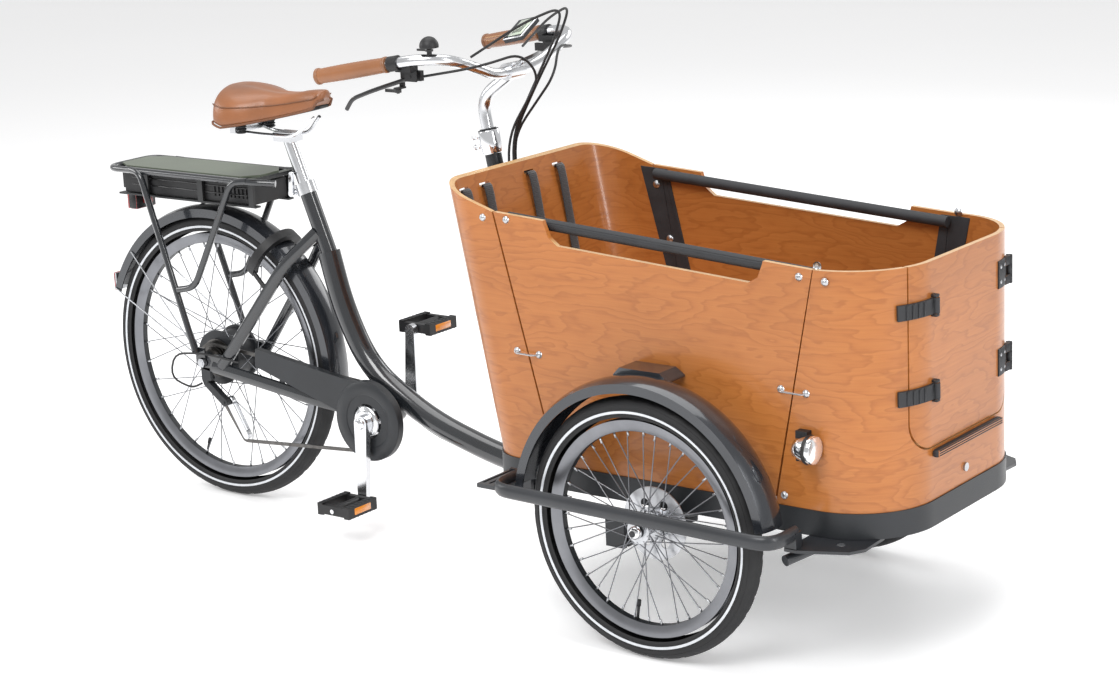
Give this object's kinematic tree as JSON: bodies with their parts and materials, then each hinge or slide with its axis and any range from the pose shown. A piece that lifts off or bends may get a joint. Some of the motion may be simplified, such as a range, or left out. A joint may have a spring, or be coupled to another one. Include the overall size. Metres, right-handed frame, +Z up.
{
  "type": "cargo bicycle",
  "caption": "Front-loading cargo tricycle with a plywood box between two front wheels, a low step-through frame, a rear rack and electric assist.",
  "frame": {"origin": "on the ground, in the middle of the length and width", "axes": "+X forward, +Y to the rider's left, +Z up"},
  "size_m": [2.208, 0.861, 1.1442],
  "materials": {
    "frame_paint": "gloss",
    "dark_paint": "satin",
    "rack_paint": "semi-gloss",
    "black_plastic": "matte",
    "rubber": "matte",
    "webbing": "matte",
    "steel": "satin",
    "alloy": "polished",
    "tyre": "matte",
    "plywood": "varnished",
    "leather": "satin"
  },
  "bodies": {
    "rear_frame": {"main_frame": "frame_paint", "rear_stays": "frame_paint", "rear_mudguard": "dark_paint", "mudguard_stays": "steel", "luggage_rack": "frame_paint", "rack_plate": "rack_paint", "tail_light": "black_plastic", "ring_lock": "black_plastic", "chain_guard": "dark_paint", "chain": "steel", "seat_collar": "alloy", "derailleur": "black_plastic", "rear_axle": "steel", "rear_cables": "black_plastic"},
    "battery": {"battery": "black_plastic"},
    "lock": {"lock_shackle": "steel"},
    "seat": {"seatpost": "alloy", "saddle": "leather"},
    "seat_lever": {"seat_lever": "alloy"},
    "rear_wheel": {"rear_tyre": "tyre", "rear_rim": "alloy", "rear_hub": "steel", "cassette": "steel"},
    "crank": {"crankset": "alloy"},
    "pedal_right": {"pedal_right": "black_plastic"},
    "pedal_left": {"pedal_left": "black_plastic"},
    "derailleur_cage": {"derailleur_cage": "steel"},
    "front_unit": {"chassis": "dark_paint", "box_back": "plywood", "box_sides": "plywood", "box_front_panel": "plywood", "box_floor": "plywood", "bench": "plywood", "grab_rails": "rubber", "panel_fittings": "steel", "side_guards": "frame_paint", "front_mudguards": "frame_paint", "headlight": "black_plastic", "steering_column": "dark_paint", "belts": "webbing", "front_cables": "black_plastic"},
    "front_right_wheel": {"front_right_tyre": "tyre", "front_right_rim": "alloy", "front_right_hub": "alloy"},
    "front_left_wheel": {"front_left_tyre": "tyre", "front_left_rim": "alloy", "front_left_hub": "alloy"},
    "door": {"box_door": "plywood"},
    "latch_upper": {"latch_upper": "rubber"},
    "latch_lower": {"latch_lower": "rubber"},
    "stem": {"stem": "alloy"},
    "handlebar": {"handlebar": "alloy", "grips": "leather", "control_clamps": "black_plastic", "display": "black_plastic"},
    "brake_lever_right": {"brake_lever_right": "black_plastic"},
    "brake_lever_left": {"brake_lever_left": "black_plastic"},
    "bell_lever": {"bell_lever": "black_plastic"},
    "shift_lever": {"shift_lever": "black_plastic"},
    "display_button": {"display_button": "black_plastic"}
  },
  "joints": [
    {"name": "battery_slide", "type": "slide", "parent": "rear_frame", "child": "battery", "axis": [-1, 0, 0], "range_m": [0, 0.4]},
    {"name": "lock_turn", "type": "hinge", "parent": "rear_frame", "child": "lock", "pos_m": [-0.60393, 0, 0.57175], "axis": [0.8191, 0, -0.5736], "range_deg": [-125, 0]},
    {"name": "seat_height", "type": "slide", "parent": "rear_frame", "child": "seat", "axis": [-0.3665, 0, 0.9304], "range_m": [-0.04, 0.04]},
    {"name": "seat_clamp", "type": "hinge", "parent": "rear_frame", "child": "seat_lever", "pos_m": [-0.52318, 0, 0.72113], "axis": [0, 1, 0], "range_deg": [-100, 0]},
    {"name": "rear_wheel_spin", "type": "hinge", "parent": "rear_frame", "child": "rear_wheel", "pos_m": [-0.776, 0, 0.326], "axis": [0, 1, 0], "continuous": true},
    {"name": "crank_spin", "type": "hinge", "parent": "rear_frame", "child": "crank", "pos_m": [-0.301, 0, 0.252], "axis": [0, 1, 0], "continuous": true},
    {"name": "pedal_right_spin", "type": "hinge", "parent": "crank", "child": "pedal_right", "pos_m": [-0.30871, -0.14, 0.08218], "axis": [0, 1, 0], "continuous": true},
    {"name": "pedal_left_spin", "type": "hinge", "parent": "crank", "child": "pedal_left", "pos_m": [-0.29329, 0.14, 0.42182], "axis": [0, 1, 0], "continuous": true},
    {"name": "cage_swing", "type": "hinge", "parent": "rear_frame", "child": "derailleur_cage", "pos_m": [-0.73, -0.0438, 0.236], "axis": [0, 1, 0], "range_deg": [-12, 12], "stiffness_Nm_per_rad": 0.4, "deforming": ["chain"]},
    {"name": "steering", "type": "hinge", "parent": "rear_frame", "child": "front_unit", "pos_m": [0.474, 0, 0.2], "axis": [0, 0, 1], "range_deg": [-35, 35]},
    {"name": "front_right_spin", "type": "hinge", "parent": "front_unit", "child": "front_right_wheel", "pos_m": [0.624, -0.355, 0.25], "axis": [0, 1, 0], "continuous": true},
    {"name": "front_left_spin", "type": "hinge", "parent": "front_unit", "child": "front_left_wheel", "pos_m": [0.624, 0.355, 0.25], "axis": [0, 1, 0], "continuous": true},
    {"name": "door_swing", "type": "hinge", "parent": "front_unit", "child": "door", "pos_m": [1.082, 0.191, 0.55], "axis": [0, 0, 1], "range_deg": [0, 110]},
    {"name": "latch_upper_turn", "type": "hinge", "parent": "door", "child": "latch_upper", "pos_m": [1.098, -0.118, 0.669], "axis": [0, 0, 1], "range_deg": [0, 100]},
    {"name": "latch_lower_turn", "type": "hinge", "parent": "door", "child": "latch_lower", "pos_m": [1.098, -0.118, 0.514], "axis": [0, 0, 1], "range_deg": [0, 100]},
    {"name": "stem_height", "type": "slide", "parent": "front_unit", "child": "stem", "axis": [-0.1994, 0, 0.9799], "range_m": [-0.02, 0.04], "deforming": ["front_cables"]},
    {"name": "handlebar_tilt", "type": "hinge", "parent": "stem", "child": "handlebar", "pos_m": [0.088, 0, 1.016], "axis": [0, 1, 0], "range_deg": [-8, 12], "deforming": ["front_cables"]},
    {"name": "brake_right", "type": "hinge", "parent": "handlebar", "child": "brake_lever_right", "pos_m": [0.018, -0.226, 1.032], "axis": [0, 1, 0], "range_deg": [0, 9], "stiffness_Nm_per_rad": 0.8, "springref_deg": -17.19},
    {"name": "brake_left", "type": "hinge", "parent": "handlebar", "child": "brake_lever_left", "pos_m": [0.018, 0.226, 1.032], "axis": [0, 1, 0], "range_deg": [0, 9], "stiffness_Nm_per_rad": 0.8, "springref_deg": -17.19},
    {"name": "bell_push", "type": "hinge", "parent": "handlebar", "child": "bell_lever", "pos_m": [0.058, -0.219, 1.082], "axis": [0, 0, 1], "range_deg": [-20, 20], "stiffness_Nm_per_rad": 0.05},
    {"name": "shift_push", "type": "hinge", "parent": "handlebar", "child": "shift_lever", "pos_m": [-0.016, -0.232, 1.002], "axis": [0, 0, 1], "range_deg": [-15, 15], "stiffness_Nm_per_rad": 0.05},
    {"name": "button_press", "type": "slide", "parent": "handlebar", "child": "display_button", "axis": [0.1879, 0.4227, -0.8866], "range_m": [0, 0.0008], "stiffness_N_per_m": 300}
  ],
  "couplings": [
    {"joint": "crank_spin", "follows": "rear_wheel_spin", "ratio": 0.4444}
  ]
}
